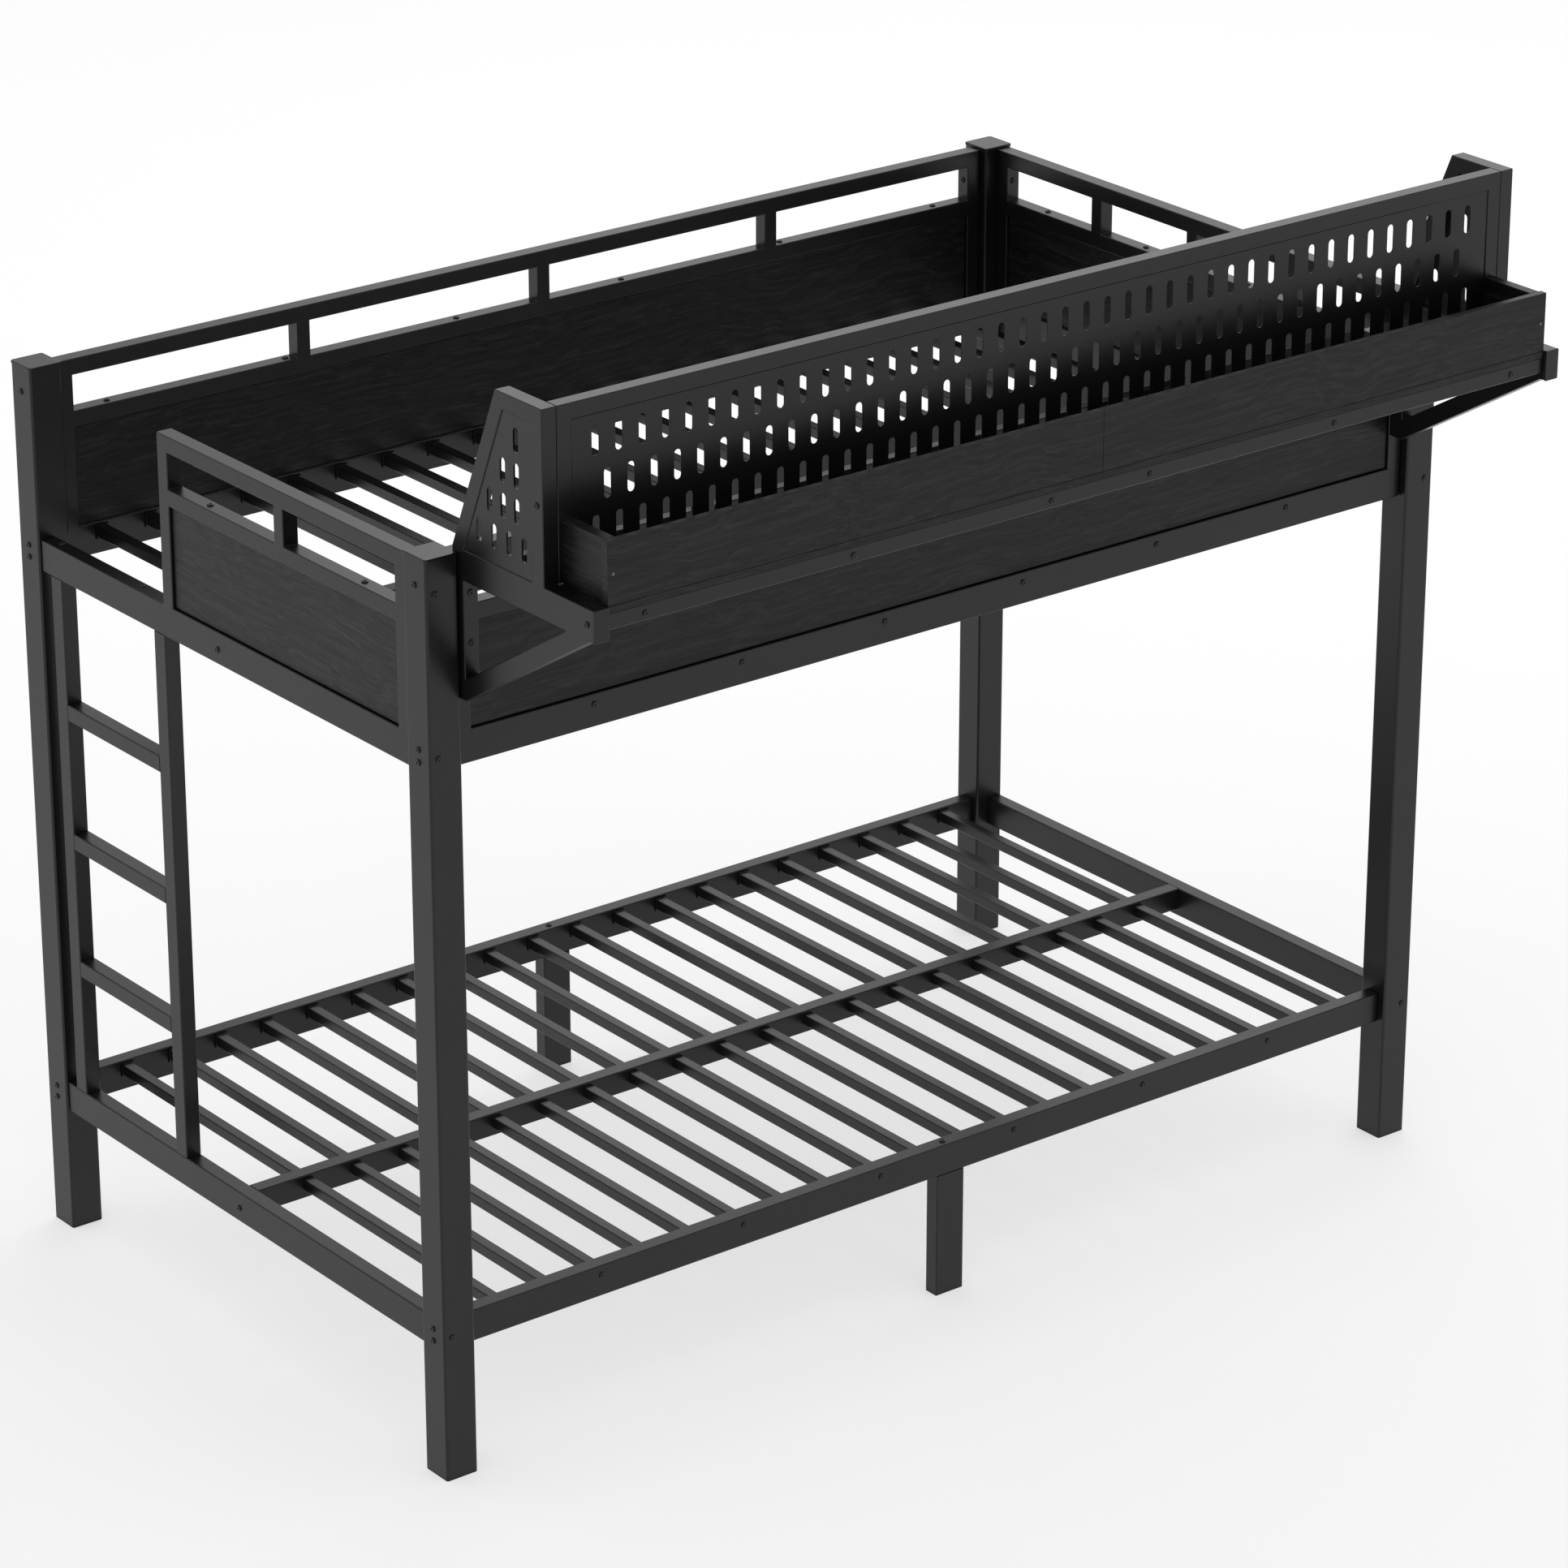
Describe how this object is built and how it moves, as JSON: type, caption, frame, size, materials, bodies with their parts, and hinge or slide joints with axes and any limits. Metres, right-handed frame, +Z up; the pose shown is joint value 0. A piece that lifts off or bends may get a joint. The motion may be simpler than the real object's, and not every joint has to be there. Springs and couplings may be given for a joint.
{
  "type": "bunk bed with ladder",
  "caption": "Steel bunk bed with slatted decks, panelled guards, an end ladder and a pegboard shelf with an open box hung on the front guard.",
  "frame": {"origin": "middle of the footprint, on the floor", "axes": "+X along the bed from the ladder end to the other end, -Y towards the side with the shelf, +Z up"},
  "size_m": [2.0046, 1.4738, 1.78],
  "materials": {
    "steel": "fine powder coat, dark charcoal, semi matt",
    "board": "black foil with a fine wavy wood grain, semi matt",
    "plastic": "moulded, charcoal, semi matt"
  },
  "bodies": {
    "root": {"post_front_left": "steel", "post_front_right": "steel", "post_back_left": "steel", "post_back_right": "steel", "leg_mid_front": "steel", "leg_mid_back": "steel", "rail_lower_front": "steel", "rail_lower_back": "steel", "rail_lower_left": "steel", "rail_lower_right": "steel", "deck_lower": "steel", "deck_upper": "steel", "guard_front": "steel", "guard_back": "steel", "guard_right": "steel", "guard_left": "steel", "ladder_stile_front": "steel", "ladder_stile_back": "steel", "ladder_rung_1": "steel", "ladder_rung_2": "steel", "ladder_rung_3": "steel", "bracket_left": "steel", "bracket_right": "steel", "side_plate_left": "steel", "side_plate_right": "steel", "pegboard_frame": "steel", "pegboard_plate": "steel", "shelf_rail": "steel", "panel_front": "board", "panel_back": "board", "panel_right": "board", "panel_left": "board", "box_floor_left": "board", "box_floor_right": "board", "box_front_left": "board", "box_front_right": "board", "box_end_left": "board", "box_end_right": "board", "cap_front_left": "plastic", "cap_front_right": "plastic", "cap_back_left": "plastic", "cap_back_right": "plastic", "foot_front_left": "plastic", "foot_front_right": "plastic", "foot_back_left": "plastic", "foot_back_right": "plastic", "foot_mid_front": "plastic", "foot_mid_back": "plastic", "arm_cap_left": "plastic", "arm_cap_right": "plastic"}
  },
  "joints": []
}
